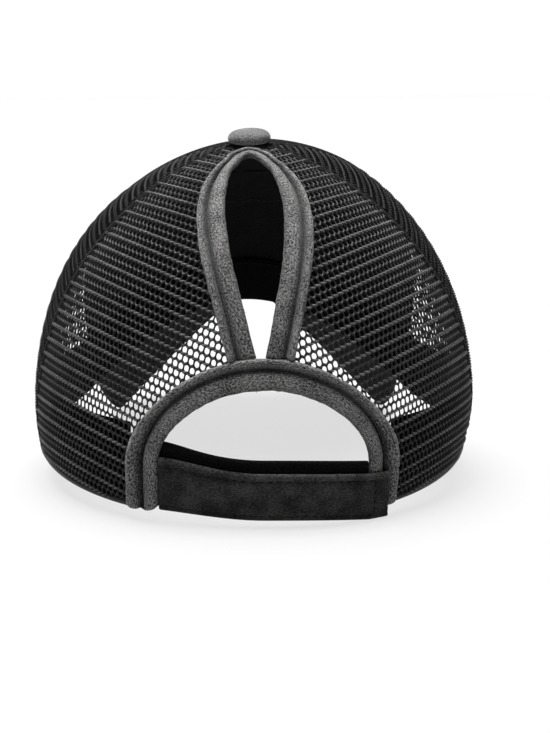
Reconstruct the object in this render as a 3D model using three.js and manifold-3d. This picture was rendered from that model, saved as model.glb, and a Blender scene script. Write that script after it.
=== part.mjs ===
// Baseball cap for a ponytail, in millimetres.
// +Z is up, +Y is the way the brim points, +X is the wearer's right.
// The cap rests on a floor at Z = 0, on the free end of its rear strap and on the two
// low edges of its curved brim. It is first drawn on a level rim, then leaned onto the floor.

import * as THREE from 'three';
import Module from 'manifold-3d';

const wasm = await Module();
wasm.setup();

// Crown, measured from the middle of the level rim
const CROWN_HALF_WIDTH = 84.2;
const CROWN_REAR = 91.6;
const CROWN_FRONT = 96;
const CROWN_HEIGHT = 113.4;
const PLAN_POWER = 2.05;
const REAR_HEIGHT_POWER = 2.48;
const REAR_RADIUS_POWER = 1.8;
const FRONT_HEIGHT_POWER = 2.55;
const FRONT_RADIUS_POWER = 1.9;
const RIM_TUCK = 0.025;
const RIM_TUCK_HEIGHT = 24;
const TOP_HOLE_RADIUS = 3.5;

// How the soft crown leans: its top to the left, the shoulder behind the brim up on the right.
// The rise grows forward over the shoulder's length and sideways up to its limit.
const TOP_SHIFT = -1.8;
const SHOULDER_RISE = 1.9;
const SHOULDER_LENGTH = 40;
const SHOULDER_HALF_WIDTH = 30;
const SHOULDER_LIMIT = 1.5;

// How far the low right side is pulled in, from this far out and up to this height
const RIM_PULL = 1.8;
const RIM_PULL_START = 20;
const RIM_PULL_LENGTH = 50;
const RIM_PULL_HEIGHT = 36;

// Walls and clearances
const MESH_WALL = 1.4;
const FRONT_WALL = 1.8;
const GAP = 0.3;

// Seams, as angles round the crown from the rear, at the rim and at the top
const REAR_SEAM = { rim: 80, top: 62 };
const FRONT_SEAM = { rim: 136, top: 114 };

// The angle from which the front rim rises to the brim
const RIM_RISE_ANGLE = 95;

// Binding round both openings: a flat band with a rolled outer edge
const BINDING_WALL = 2.2;
const BINDING_ROLL = 1.6;

// Half-moon opening, measured along the rear of the crown up from the rim
const ARCH_SHIFT = 0.5;
const ARCH_OPENING_HALF_WIDTH = 36.5;
const ARCH_OPENING_TOP = 46;
const ARCH_SPRING = 20;
const ARCH_BINDING_WIDTH = 10.8;

// Ponytail slot, measured the same way
const SLOT_SHIFT = -0.3;
const SLOT_TOP = 149.5;
const SLOT_HALF_WIDTH = 10.3;
const SLOT_BINDING_TOP = 155.5;
const SLOT_BINDING_HALF_WIDTH = 20;

// Solids that cut the panels: half their depth, and how far they run on below an outline's foot
const CUT_DEPTH = 12;
const ARCH_CUT_DROP = 10;
const SLOT_CUT_DROP = 6;
const LEAST_CUT_HALF_WIDTH = 0.4;

// Sweatband
const SWEATBAND_WALL = 1.2;
const SWEATBAND_INSET = 0.6;
const SWEATBAND_LIFT = 0.6;
const SWEATBAND_REAR = 31;
const SWEATBAND_FRONT = 19.8;

// Straps: how far the outer one runs over the right binding, how high its lower edge is
// above the floor at its start and middle, and the length at its end that lies on the floor
const STRAP_HEIGHT = 17.6;
const STRAP_WALL = 2;
const STRAP_OVERLAP = 6.5;
const STRAP_END_BELOW_RIM = 3.9;
const STRAP_START_LIFT = 4.2;
const STRAP_MIDDLE_LIFT = 2.2;
const STRAP_FLAT_END = 7;
const INNER_STRAP_RISE = 4.2;
const INNER_STRAP_OVERLAP = 4;

// Brim: its reach is how far its tip stands ahead of the crown, its sway how far to the right
const BRIM_WALL = 3;
const BRIM_CORNER_ANGLE = FRONT_SEAM.rim - 2;
const BRIM_CORNER_WIDTH = 1.2;
const BRIM_REACH = 67;
const BRIM_OUTLINE_POWER = 2.4;
const BRIM_CREST = 27.5;
const BRIM_FALL = 0.18;
const BRIM_RIM_ROUND = 48;
const BRIM_TIP_ROUND = 8;
const BRIM_ROUND_REACH = 36;
const BRIM_LEG_SLOPE = 1;
const BRIM_SWAY = 3.2;

// Button
const BUTTON_RADIUS = 8;
const BUTTON_HEIGHT = 4.9;

// Half widths of the ponytail slot and of its binding, bottom to top
// along: share of the way up, half: share of the greatest half width
const SLOT_OPENING = [
  { along: 0, half: 0.155 },
  { along: 0.15, half: 0.447 },
  { along: 0.313, half: 0.74 },
  { along: 0.453, half: 0.92 },
  { along: 0.616, half: 1 },
  { along: 0.724, half: 0.95 },
  { along: 0.81, half: 0.835 },
  { along: 0.88, half: 0.69 },
  { along: 0.93, half: 0.46 },
  { along: 0.967, half: 0.31 },
  { along: 1, half: 0 },
];
const SLOT_OUTLINE = [
  { along: 0, half: 0.56 },
  { along: 0.141, half: 0.73 },
  { along: 0.294, half: 0.885 },
  { along: 0.436, half: 0.985 },
  { along: 0.578, half: 1 },
  { along: 0.694, half: 0.92 },
  { along: 0.78, half: 0.78 },
  { along: 0.853, half: 0.6 },
  { along: 0.898, half: 0.47 },
  { along: 0.949, half: 0.34 },
  { along: 1, half: 0 },
];

// Section of the binding, from the opening's edge outwards
// across: share of the binding's width, wall: share of its wall, roll: share of the roll
const BINDING_SECTION = [
  { across: 0, wall: 0.4, roll: 0 },
  { across: 0.08, wall: 1, roll: 0 },
  { across: 0.54, wall: 1, roll: 0 },
  { across: 0.64, wall: 0.6, roll: 0 },
  { across: 0.78, wall: 1, roll: 1 },
  { across: 0.92, wall: 1, roll: 0.8 },
  { across: 1, wall: 0.5, roll: 0 },
];

// Half section of the button, out from its axis and up, as shares of its radius and height
const BUTTON_PROFILE = [
  { out: 0, up: 0 },
  { out: 0.84, up: 0 },
  { out: 0.97, up: 0.16 },
  { out: 1, up: 0.36 },
  { out: 0.93, up: 0.62 },
  { out: 0.74, up: 0.85 },
  { out: 0.42, up: 0.97 },
  { out: 0, up: 1 },
];

const PANEL_ROWS = 16;
const SLOT_STEPS = 60;
const ARCH_STEPS = 28;
const DEGREE = Math.PI / 180;
const mix = (a, b, share) => a + (b - a) * share;
const clamp = (value) => Math.min(1, Math.max(0, value));
const smooth = (value) => clamp(value) ** 2 * (3 - 2 * clamp(value));

// The crown is an oval in plan and a flattened dome in height.
// Angles run round it from the rear, positive to the right.

function planRadius(angle) {
  const length = Math.cos(angle) > 0 ? CROWN_REAR : CROWN_FRONT;
  const across = (Math.abs(Math.sin(angle)) / CROWN_HALF_WIDTH) ** PLAN_POWER;
  const along = (Math.abs(Math.cos(angle)) / length) ** PLAN_POWER;
  return (across + along) ** (-1 / PLAN_POWER);
}

function domePowers(angle) {
  const front = (1 - Math.cos(angle)) / 2;
  return {
    height: mix(REAR_HEIGHT_POWER, FRONT_HEIGHT_POWER, front),
    radius: mix(REAR_RADIUS_POWER, FRONT_RADIUS_POWER, front),
  };
}

function domeRadius(angle, z) {
  const powers = domePowers(angle);
  const dome = (1 - clamp(z / CROWN_HEIGHT) ** powers.height) ** (1 / powers.radius);
  const tuck = 1 - RIM_TUCK * Math.max(0, 1 - Math.max(0, z) / RIM_TUCK_HEIGHT) ** 2;
  return planRadius(angle) * dome * tuck;
}

function crownPoint(angle, z) {
  const radius = domeRadius(angle, z);
  return new THREE.Vector3(radius * Math.sin(angle), -radius * Math.cos(angle), z);
}

// A rise of 0 is the rim's level and 1 is the edge of the small hole under the button
function riseToHeight(angle, rise) {
  const powers = domePowers(angle);
  const end = Math.acos((TOP_HOLE_RADIUS / planRadius(angle)) ** (powers.radius / 2));
  return CROWN_HEIGHT * Math.sin(clamp(rise) * end) ** (2 / powers.height);
}

function heightToRise(angle, z) {
  const powers = domePowers(angle);
  const end = Math.acos((TOP_HOLE_RADIUS / planRadius(angle)) ** (powers.radius / 2));
  return Math.asin(clamp(z / CROWN_HEIGHT) ** (powers.height / 2)) / end;
}

function crownSurface(angle, rise) {
  return crownPoint(angle, riseToHeight(angle, rise));
}

function normalOf(surface, u, v, step) {
  const alongU = surface(u + step, v).sub(surface(u - step, v));
  const alongV = surface(u, v + step).sub(surface(u, v - step));
  return alongU.cross(alongV).normalize();
}

// The line where the crown, the sweatband and the brim meet
function brimCrest(y) {
  return BRIM_CREST - BRIM_FALL * (y - CROWN_FRONT);
}

function brimDrop(x, round, slope) {
  return slope * (Math.hypot(x, round) - round);
}

function rimHeight(angle) {
  const front = smooth((Math.abs(angle) / DEGREE - RIM_RISE_ANGLE) / (BRIM_CORNER_ANGLE - RIM_RISE_ANGLE));
  const flat = crownPoint(angle, 0);
  return front * (brimCrest(flat.y) - brimDrop(flat.x, BRIM_RIM_ROUND, 1));
}

function sweatbandHeight(angle) {
  return mix(SWEATBAND_REAR, SWEATBAND_FRONT, (1 - Math.cos(angle)) / 2);
}

// Places on the rear of the crown: x across, s along the middle of the rear up from the rim

const REAR_MIDDLE = (() => {
  const rows = [{ s: 0, point: crownPoint(0, 0) }];
  const steps = 200;
  for (let step = 1; step <= steps; step += 1) {
    const point = crownSurface(0, step / steps);
    const last = rows[rows.length - 1];
    rows.push({ s: last.s + point.distanceTo(last.point), point });
  }
  return rows;
})();

function rearMiddle(s) {
  if (s <= 0) {
    return new THREE.Vector3(0, REAR_MIDDLE[0].point.y, s);
  }
  let index = REAR_MIDDLE.findIndex((row) => row.s >= s);
  if (index < 1) {
    index = REAR_MIDDLE.length - 1;
  }
  const [low, high] = [REAR_MIDDLE[index - 1], REAR_MIDDLE[index]];
  return low.point.clone().lerp(high.point, (s - low.s) / (high.s - low.s));
}

function isInside(x, y, z) {
  return z < CROWN_HEIGHT && Math.hypot(x, y) < domeRadius(Math.atan2(x, -y), z);
}

function rearPoint(x, s) {
  const aim = rearMiddle(s).normalize();
  let near = 0;
  let far = 2 * CROWN_HEIGHT;
  for (let step = 0; step < 40; step += 1) {
    const middle = (near + far) / 2;
    if (isInside(x, aim.y * middle, aim.z * middle)) {
      near = middle;
    } else {
      far = middle;
    }
  }
  return new THREE.Vector3(x, aim.y * near, aim.z * near);
}

function rearOffset(x, s, offset) {
  const normal = normalOf(rearPoint, x, s, 0.5);
  return rearPoint(x, s).addScaledVector(normal, offset);
}

// Closed bodies from rows of sections, each section a closed ring of points

function solidFromRings(rings) {
  const count = rings[0].length;
  const positions = rings.flat().flatMap((point) => [point.x, point.y, point.z]);
  const faces = [];
  for (let row = 0; row + 1 < rings.length; row += 1) {
    for (let side = 0; side < count; side += 1) {
      const a = row * count + side;
      const b = row * count + (side + 1) % count;
      faces.push(a, b, b + count, a, b + count, a + count);
    }
  }
  const last = (rings.length - 1) * count;
  for (let side = 1; side < count / 2; side += 1) {
    const [a, b, c, d] = [side - 1, side, count - 1 - side, count - side];
    faces.push(a, c, b, a, d, c);
    faces.push(last + a, last + b, last + c, last + a, last + c, last + d);
  }
  return orient(positions, faces);
}

// Turns the faces over if the body's volume comes out negative
function orient(positions, faces) {
  const corner = (index) => new THREE.Vector3().fromArray(positions, 3 * index);
  let volume = 0;
  for (let face = 0; face < faces.length; face += 3) {
    const [a, b, c] = [corner(faces[face]), corner(faces[face + 1]), corner(faces[face + 2])];
    volume += a.dot(b.cross(c));
  }
  if (volume < 0) {
    for (let face = 0; face < faces.length; face += 3) {
      [faces[face + 1], faces[face + 2]] = [faces[face + 2], faces[face + 1]];
    }
  }
  return { positions, faces };
}

// A wall between two faces of one surface, given as rows of front and back points
function wall(rows) {
  const rings = rows.map((row) => [
    ...row.map((pair) => pair.front),
    ...row.map((pair) => pair.back).reverse(),
  ]);
  return solidFromRings(rings);
}

function cut(body, cutters) {
  const toManifold = ({ positions, faces }) => new wasm.Manifold(new wasm.Mesh({
    numProp: 3,
    vertProperties: new Float32Array(positions),
    triVerts: new Uint32Array(faces),
  }));
  let solid = toManifold(body);
  for (const cutter of cutters) {
    solid = solid.subtract(toManifold(cutter));
  }
  const mesh = solid.getMesh();
  return { positions: Array.from(mesh.vertProperties), faces: Array.from(mesh.triVerts) };
}

// Panels of the crown

function panel({ from, to, thickness, columns }) {
  const lines = [];
  for (let row = 0; row <= PANEL_ROWS; row += 1) {
    const share = row / PANEL_ROWS;
    const line = [];
    for (let column = 0; column <= columns; column += 1) {
      const angle = mix(from(share), to(share), column / columns);
      const rise = mix(heightToRise(angle, rimHeight(angle)), 1, share);
      const point = crownSurface(angle, rise);
      const normal = normalOf(crownSurface, angle, rise, 0.002);
      line.push({
        front: point.clone().addScaledVector(normal, thickness / 2),
        back: point.clone().addScaledVector(normal, -thickness / 2),
      });
    }
    lines.push(line);
  }
  return wall(lines);
}

// The angle of a seam's edge, half a gap to one side of the seam
function seamEdge(seam, side) {
  return (rise) => {
    const height = riseToHeight(0, rise);
    const middle = mix(seam.rim, seam.top, height / CROWN_HEIGHT) * DEGREE;
    const radius = Math.max(TOP_HOLE_RADIUS, domeRadius(middle, height));
    return middle + side * GAP / 2 / radius;
  };
}

const CENTRE_SEAM = { rim: 0, top: 0 };

function rearPanel(side) {
  const body = panel({
    from: (rise) => side * seamEdge(CENTRE_SEAM, 1)(rise),
    to: (rise) => side * seamEdge(REAR_SEAM, -1)(rise),
    thickness: MESH_WALL,
    columns: 16,
  });
  return cut(body, [archCutter(), slotCutter()]);
}

function sidePanel(side) {
  return panel({
    from: (rise) => side * seamEdge(REAR_SEAM, 1)(rise),
    to: (rise) => side * seamEdge(FRONT_SEAM, -1)(rise),
    thickness: MESH_WALL,
    columns: 8,
  });
}

function frontPanel() {
  return panel({
    from: seamEdge(FRONT_SEAM, 1),
    to: (rise) => 2 * Math.PI - seamEdge(FRONT_SEAM, 1)(rise),
    thickness: FRONT_WALL,
    columns: 24,
  });
}

// Outlines on the rear of the crown, as points with x across and y along s

function archOutline(widening) {
  const half = ARCH_OPENING_HALF_WIDTH + widening;
  const rise = ARCH_OPENING_TOP - ARCH_SPRING + widening;
  return { half, rise };
}

function archCurve(widening) {
  const { half, rise } = archOutline(widening);
  const points = [];
  const legSteps = 4;
  for (let step = 0; step < legSteps; step += 1) {
    points.push(new THREE.Vector2(-half, ARCH_SPRING * step / legSteps));
  }
  for (let step = 0; step <= ARCH_STEPS; step += 1) {
    const turn = Math.PI * (1 - step / ARCH_STEPS);
    points.push(new THREE.Vector2(half * Math.cos(turn), ARCH_SPRING + rise * Math.sin(turn)));
  }
  for (let step = legSteps - 1; step >= 0; step -= 1) {
    points.push(new THREE.Vector2(half, ARCH_SPRING * step / legSteps));
  }
  return points.map((point) => point.setX(point.x + ARCH_SHIFT));
}

// The height of the arch binding's outer edge over a place across
function archOutlineTop(x) {
  const { half, rise } = archOutline(ARCH_BINDING_WIDTH);
  return ARCH_SPRING + rise * Math.sqrt(1 - ((x - ARCH_SHIFT) / half) ** 2);
}

function slotCurve(table, half, top, widening) {
  const bottom = ARCH_OPENING_TOP + ARCH_BINDING_WIDTH + GAP;
  const place = (row, side) => {
    const spread = half * row.half + (row.half > 0 ? widening : 0);
    const x = SLOT_SHIFT + side * spread;
    const s = row.along > 0 ? mix(bottom, top + widening, row.along) : archOutlineTop(x) + GAP;
    return new THREE.Vector2(x, s);
  };
  const left = table.map((row) => place(row, -1));
  const right = table.slice(0, -1).map((row) => place(row, 1)).reverse();
  return new THREE.SplineCurve([...left, ...right]).getPoints(SLOT_STEPS);
}

// Solids that cut the openings out of the panels, a clearance wider than the bindings

function rearSlab(halves) {
  const columns = 6;
  return wall(halves.map(({ middle, half, s }) => {
    const line = [];
    for (let column = 0; column <= columns; column += 1) {
      const x = middle + half * (2 * column / columns - 1);
      line.push({ front: rearOffset(x, s, CUT_DEPTH), back: rearOffset(x, s, -CUT_DEPTH) });
    }
    return line;
  }));
}

// Rows of a slab from the left half of an outline, which starts at its foot
function slabRows(outline, middle, drop) {
  const left = outline.slice(0, (outline.length + 1) / 2);
  const rows = left.map((point) => (
    { middle, half: Math.max(LEAST_CUT_HALF_WIDTH, middle - point.x), s: point.y }
  ));
  return [{ ...rows[0], s: rows[0].s - drop }, ...rows];
}

function archCutter() {
  return rearSlab(slabRows(archCurve(ARCH_BINDING_WIDTH + GAP), ARCH_SHIFT, ARCH_CUT_DROP));
}

function slotCutter() {
  const outline = slotCurve(SLOT_OUTLINE, SLOT_BINDING_HALF_WIDTH, SLOT_BINDING_TOP, GAP);
  return rearSlab(slabRows(outline, SLOT_SHIFT, SLOT_CUT_DROP));
}

// Bindings

function binding(inner, outer) {
  return wall(inner.map((start, index) => BINDING_SECTION.map((row) => {
    const place = start.clone().lerp(outer[index], row.across);
    const half = row.wall * BINDING_WALL / 2;
    return {
      front: rearOffset(place.x, place.y, half + row.roll * BINDING_ROLL),
      back: rearOffset(place.x, place.y, -half),
    };
  })));
}

function archBinding() {
  return binding(archCurve(0), archCurve(ARCH_BINDING_WIDTH));
}

function slotBinding() {
  return binding(
    slotCurve(SLOT_OPENING, SLOT_HALF_WIDTH, SLOT_TOP, 0),
    slotCurve(SLOT_OUTLINE, SLOT_BINDING_HALF_WIDTH, SLOT_BINDING_TOP, 0),
  );
}

// Bands that run round the crown: the sweatband and the straps

function footAngle() {
  const foot = rearPoint(ARCH_SHIFT + ARCH_OPENING_HALF_WIDTH + ARCH_BINDING_WIDTH, 0);
  return Math.atan2(foot.x, -foot.y) + 2 * GAP / planRadius(0);
}

function sweatband() {
  const steps = 56;
  const levels = 3;
  const inset = FRONT_WALL / 2 + SWEATBAND_INSET;
  const rows = [];
  for (let step = 0; step <= steps; step += 1) {
    const angle = mix(footAngle(), 2 * Math.PI - footAngle(), step / steps);
    const turned = angle > Math.PI ? angle - 2 * Math.PI : angle;
    const line = [];
    for (let level = 0; level <= levels; level += 1) {
      const z = rimHeight(turned) + SWEATBAND_LIFT + sweatbandHeight(angle) * level / levels;
      const normal = normalOf(crownPoint, angle, Math.max(z, 1), 0.01);
      const point = crownPoint(angle, z);
      line.push({
        front: point.clone().addScaledVector(normal, -inset),
        back: point.clone().addScaledVector(normal, -inset - SWEATBAND_WALL),
      });
    }
    rows.push(line);
  }
  return wall(rows);
}

// The floor as it lies under the level rim: leaned by the brim's lowest edge

function floorUnder(y, lean) {
  return -STRAP_END_BELOW_RIM - (y - strapEnd().y) * lean;
}

function strapEnd() {
  return rearOffset(ARCH_SHIFT + ARCH_OPENING_HALF_WIDTH + STRAP_OVERLAP, 0, strapStandOff());
}

// How far a strap's middle stands off the crown where it passes a binding
function strapStandOff() {
  return BINDING_WALL / 2 + GAP + STRAP_WALL / 2;
}

function strap({ start, end, offset, lift, lean }) {
  const steps = 28;
  const levels = 2;
  const rows = [];
  for (let step = 0; step <= steps; step += 1) {
    const x = mix(start, end, step / steps);
    const line = [];
    for (let level = 0; level <= levels; level += 1) {
      const rise = STRAP_HEIGHT * level / levels;
      const place = (side) => {
        const out = offset(x) + side * STRAP_WALL / 2;
        const foot = rearOffset(x, 0, out);
        const z = floorUnder(foot.y, lean) + (lift(x) + rise) / Math.cos(Math.atan(lean));
        return rearOffset(x, z, out).setZ(z);
      };
      line.push({ front: place(1), back: place(-1) });
    }
    rows.push(line);
  }
  return wall(rows);
}

function strapLift(x) {
  const [left, right] = [-ARCH_OPENING_HALF_WIDTH, ARCH_OPENING_HALF_WIDTH + STRAP_OVERLAP];
  const sunk = clamp((x - ARCH_SHIFT) / (right - STRAP_FLAT_END)) ** 2;
  const slack = smooth((x - ARCH_SHIFT - left) / ARCH_OPENING_HALF_WIDTH);
  return mix(mix(STRAP_START_LIFT, STRAP_MIDDLE_LIFT, slack), 0, sunk);
}

function outerStrap(lean) {
  const start = ARCH_SHIFT - ARCH_OPENING_HALF_WIDTH + GAP;
  const end = ARCH_SHIFT + ARCH_OPENING_HALF_WIDTH + STRAP_OVERLAP;
  const offset = (x) => strapStandOff() * smooth((x - start) / (2 * ARCH_OPENING_HALF_WIDTH));
  return strap({ start, end, offset, lift: strapLift, lean });
}

function innerStrap(lean) {
  const start = ARCH_SHIFT - ARCH_OPENING_HALF_WIDTH - INNER_STRAP_OVERLAP;
  const end = ARCH_SHIFT + ARCH_OPENING_HALF_WIDTH - GAP;
  const first = ARCH_SHIFT - ARCH_OPENING_HALF_WIDTH + GAP;
  const offset = (x) => (
    strapStandOff() * (smooth((x - first) / (2 * ARCH_OPENING_HALF_WIDTH)) - 1) - GAP / 3
  );
  const lift = (x) => strapLift(x) + INNER_STRAP_RISE;
  return strap({ start, end, offset, lift, lean });
}

// Brim: u runs across it from the left corner to the right, v from the crown to its edge

function brimInner(u) {
  const angle = Math.PI - u * (180 - BRIM_CORNER_ANGLE) * DEGREE;
  const point = crownPoint(angle, rimHeight(angle));
  const out = new THREE.Vector3(point.x, point.y, 0).normalize();
  return point.addScaledVector(out, FRONT_WALL / 2 + GAP);
}

function brimSurface(u, v) {
  const inner = brimInner(u);
  const corner = brimInner(1);
  const turn = u * Math.PI / 2;
  const power = 2 / BRIM_OUTLINE_POWER;
  const across = Math.sign(turn) * Math.abs(Math.sin(turn)) ** power;
  const ahead = Math.max(0, Math.cos(turn)) ** power;
  const reach = CROWN_FRONT + BRIM_REACH - corner.y;
  const x = mix(inner.x, (corner.x + BRIM_CORNER_WIDTH) * across, v);
  const y = mix(inner.y, corner.y + reach * ahead, v);
  const away = smooth(Math.hypot(x - inner.x, y - inner.y) / BRIM_ROUND_REACH);
  const round = mix(BRIM_RIM_ROUND, BRIM_TIP_ROUND, away);
  const z = brimCrest(y) - brimDrop(x, round, mix(1, BRIM_LEG_SLOPE, away)) + BRIM_WALL / 2;
  return new THREE.Vector3(x + BRIM_SWAY * away, y, z);
}

function brim() {
  const columns = 30;
  const rows = 9;
  const lines = [];
  for (let column = 0; column <= columns; column += 1) {
    const u = 2 * column / columns - 1;
    const line = [];
    for (let row = 0; row <= rows; row += 1) {
      const point = brimSurface(u, row / rows);
      const inside = THREE.MathUtils.clamp(u, -0.97, 0.97);
      const normal = normalOf(brimSurface, inside, row / rows, 0.02);
      line.push({
        front: point.clone().addScaledVector(normal, BRIM_WALL / 2),
        back: point.clone().addScaledVector(normal, -BRIM_WALL / 2),
      });
    }
    lines.push(line);
  }
  return wall(lines);
}

// The lean that sets the brim's lowest edge on the same floor as the strap's end
function findLean(brimBody) {
  const end = strapEnd();
  let lean = 0;
  for (let index = 0; index < brimBody.positions.length; index += 3) {
    const [, y, z] = brimBody.positions.slice(index, index + 3);
    lean = Math.max(lean, (-STRAP_END_BELOW_RIM - z) / (y - end.y));
  }
  return lean;
}

// Button

function topButton() {
  const profile = BUTTON_PROFILE.map((row) => (
    new THREE.Vector2(row.out * BUTTON_RADIUS, row.up * BUTTON_HEIGHT)
  ));
  const geometry = new THREE.LatheGeometry(profile, 24);
  geometry.rotateX(Math.PI / 2);
  geometry.translate(0, 0, CROWN_HEIGHT + FRONT_WALL / 2 + GAP);
  return geometry;
}

// The soft crown's own lean, and the whole cap's onto the floor

function settle(point, lean) {
  const height = clamp(point.z / CROWN_HEIGHT);
  const front = smooth(point.y / SHOULDER_LENGTH + 0.5);
  const side = THREE.MathUtils.clamp(point.x / SHOULDER_HALF_WIDTH, -SHOULDER_LIMIT, SHOULDER_LIMIT);
  const low = Math.max(0, 1 - Math.max(0, point.z) / RIM_PULL_HEIGHT) ** 2;
  const right = smooth((point.x - RIM_PULL_START) / RIM_PULL_LENGTH);
  point.z += SHOULDER_RISE * side * front * height ** 2;
  point.x += TOP_SHIFT * height ** 3 - RIM_PULL * right * low;
  point.z -= floorUnder(0, lean);
  return point.applyAxisAngle(new THREE.Vector3(1, 0, 0), Math.atan(lean));
}

function toGeometry({ positions, faces }) {
  const geometry = new THREE.BufferGeometry();
  geometry.setAttribute('position', new THREE.Float32BufferAttribute(positions, 3));
  geometry.setIndex(faces);
  return geometry;
}

const MATERIALS = {
  mesh: new THREE.MeshStandardMaterial({ color: 0x2b2b2b, roughness: 0.8 }),
  front: new THREE.MeshStandardMaterial({ color: 0x141414, roughness: 0.9 }),
  heather: new THREE.MeshStandardMaterial({ color: 0x6c6b69, roughness: 0.95 }),
  strap: new THREE.MeshStandardMaterial({ color: 0x242423, roughness: 0.9 }),
  black: new THREE.MeshStandardMaterial({ color: 0x0b0c0b, roughness: 0.9 }),
};

const group = new THREE.Group();
const brimBody = brim();
const lean = findLean(brimBody);

function add(name, body, material) {
  const geometry = body.isBufferGeometry ? body : toGeometry(body);
  const position = geometry.getAttribute('position');
  const point = new THREE.Vector3();
  for (let index = 0; index < position.count; index += 1) {
    settle(point.fromBufferAttribute(position, index), lean);
    position.setXYZ(index, point.x, point.y, point.z);
  }
  geometry.computeVertexNormals();
  const mesh = new THREE.Mesh(geometry, material);
  mesh.name = name;
  group.add(mesh);
}

add('front_panel', frontPanel(), MATERIALS.front);
add('side_panel_left', sidePanel(-1), MATERIALS.mesh);
add('side_panel_right', sidePanel(1), MATERIALS.mesh);
add('rear_panel_left', rearPanel(-1), MATERIALS.mesh);
add('rear_panel_right', rearPanel(1), MATERIALS.mesh);
add('slot_binding', slotBinding(), MATERIALS.heather);
add('arch_binding', archBinding(), MATERIALS.heather);
add('strap_outer', outerStrap(lean), MATERIALS.strap);
add('strap_inner', innerStrap(lean), MATERIALS.black);
add('sweatband', sweatband(), MATERIALS.black);
add('brim', brimBody, MATERIALS.black);
add('top_button', topButton(), MATERIALS.heather);

// The origin is on the floor, at the middle of the whole cap's length and width
const middle = new THREE.Box3().setFromObject(group).getCenter(new THREE.Vector3());
group.position.set(-middle.x, -middle.y, 0);

export default group;
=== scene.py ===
import math

import bpy
import numpy as np
from mathutils import Matrix, Vector


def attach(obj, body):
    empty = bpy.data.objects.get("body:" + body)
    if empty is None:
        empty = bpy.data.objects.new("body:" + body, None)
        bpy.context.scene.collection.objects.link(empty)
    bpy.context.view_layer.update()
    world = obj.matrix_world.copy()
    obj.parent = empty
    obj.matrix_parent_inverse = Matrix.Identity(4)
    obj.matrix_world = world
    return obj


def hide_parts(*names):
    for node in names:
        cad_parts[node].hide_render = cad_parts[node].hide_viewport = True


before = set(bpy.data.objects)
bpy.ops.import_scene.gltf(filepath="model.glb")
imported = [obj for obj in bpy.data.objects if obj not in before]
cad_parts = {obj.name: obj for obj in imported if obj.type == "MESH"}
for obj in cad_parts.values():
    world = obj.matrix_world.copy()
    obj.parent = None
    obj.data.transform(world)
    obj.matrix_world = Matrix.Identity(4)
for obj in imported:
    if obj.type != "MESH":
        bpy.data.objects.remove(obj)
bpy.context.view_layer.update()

# Sizes are in millimetres and repeat those of the CAD source. The crown is worked out on
# a level rim, then place() leans it onto the floor and gives metres in the row's frame.

# The crown: its half width and its reach to the rear, the front and the top, then how
# square its plan and its domes are, how its rim tucks in, and how its top sways
HALF_WIDTH, REAR, FRONT, HEIGHT = 84.2, 91.6, 96.0, 113.4
PLAN_POWER = 2.05
REAR_POWERS = (2.48, 1.8)
FRONT_POWERS = (2.55, 1.9)
RIM_TUCK, RIM_TUCK_HEIGHT = 0.025, 24.0
TOP_HOLE = 3.5
TOP_SHIFT, SHOULDER_RISE, RIM_PULL = -1.8, 1.9, 1.8

# The slope of the rim on the floor, the floor's height below it, and the move to the origin
LEAN, FLOOR, SHIFT = 0.12482955, -13.698530, (0.246155, -30.885277)

# The seams' angles from the rear at the rim and the top, in degrees
REAR_SEAM, FRONT_SEAM = (80.0, 62.0), (136.0, 114.0)

# The half-moon opening, the ponytail slot and their bindings
ARCH_SHIFT, ARCH_HALF, ARCH_TOP, ARCH_SPRING, ARCH_WIDTH = 0.5, 36.5, 46.0, 20.0, 10.8
SLOT_SHIFT, SLOT_TOP, SLOT_HALF = -0.3, 149.5, 10.3
SLOT_BINDING_TOP, SLOT_BINDING_HALF = 155.5, 20.0

# The gap between pieces, and half the thickness of the front panel
GAP, CLOTH_HALF = 0.3, 0.9

# The rim rises from RISE_START, an angle from the rear in degrees, to the brim's corner.
# The brim: the angle of its corners, the height of its crest, its fall and its reach, half
# its thickness, its sway to one side, and how round it is at the rim and at its edge
RISE_START = 95.0
BRIM_CORNER, BRIM_CREST, BRIM_FALL, BRIM_REACH = 134.0, 27.5, 0.18, 67.0
BRIM_HALF, BRIM_SWAY, BRIM_RIM_ROUND, BRIM_EDGE_ROUND = 1.5, 3.2, 48.0, 8.0
BRIM_POWER, BRIM_CORNER_OUT, BRIM_BLEND = 2.4, 1.2, 36.0

# Straps, sweatband and button
STRAP_HEIGHT, STRAP_WALL, INNER_STRAP_WALL = 17.6, 2.0, 2.2
STRAP_OVERLAP, STRAP_END_BELOW = 6.5, 3.9
SWEATBAND_REAR, SWEATBAND_FRONT, SWEATBAND_INSET = 31.0, 19.8, 1.5
BUTTON_RADIUS, BUTTON_HEIGHT = 8.0, 4.9

# The net: distance between holes along a rib, between rows of holes, and half a strand
PITCH, ROW, STRAND = 2.25, 2.85, 0.25

# How far each dash of a rib climbs across the rib
RIB_SLANT = -0.855

rng = np.random.default_rng(20)


def mix(a, b, share):
    return a + (b - a) * share


def smooth(value):
    value = np.clip(value, 0, 1)
    return value * value * (3 - 2 * value)


def unit(vectors):
    return vectors / np.maximum(np.linalg.norm(vectors, axis=-1, keepdims=True), 1e-12)


# The crown

def plan_radius(angle):
    length = np.where(np.cos(angle) > 0, REAR, FRONT)
    across = (np.abs(np.sin(angle)) / HALF_WIDTH) ** PLAN_POWER
    along = (np.abs(np.cos(angle)) / length) ** PLAN_POWER
    return (across + along) ** (-1 / PLAN_POWER)


def powers(angle):
    front = (1 - np.cos(angle)) / 2
    return (mix(REAR_POWERS[0], FRONT_POWERS[0], front),
            mix(REAR_POWERS[1], FRONT_POWERS[1], front))


def tuck(z):
    return 1 - RIM_TUCK * np.maximum(0, 1 - np.maximum(0, z) / RIM_TUCK_HEIGHT) ** 2


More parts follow.
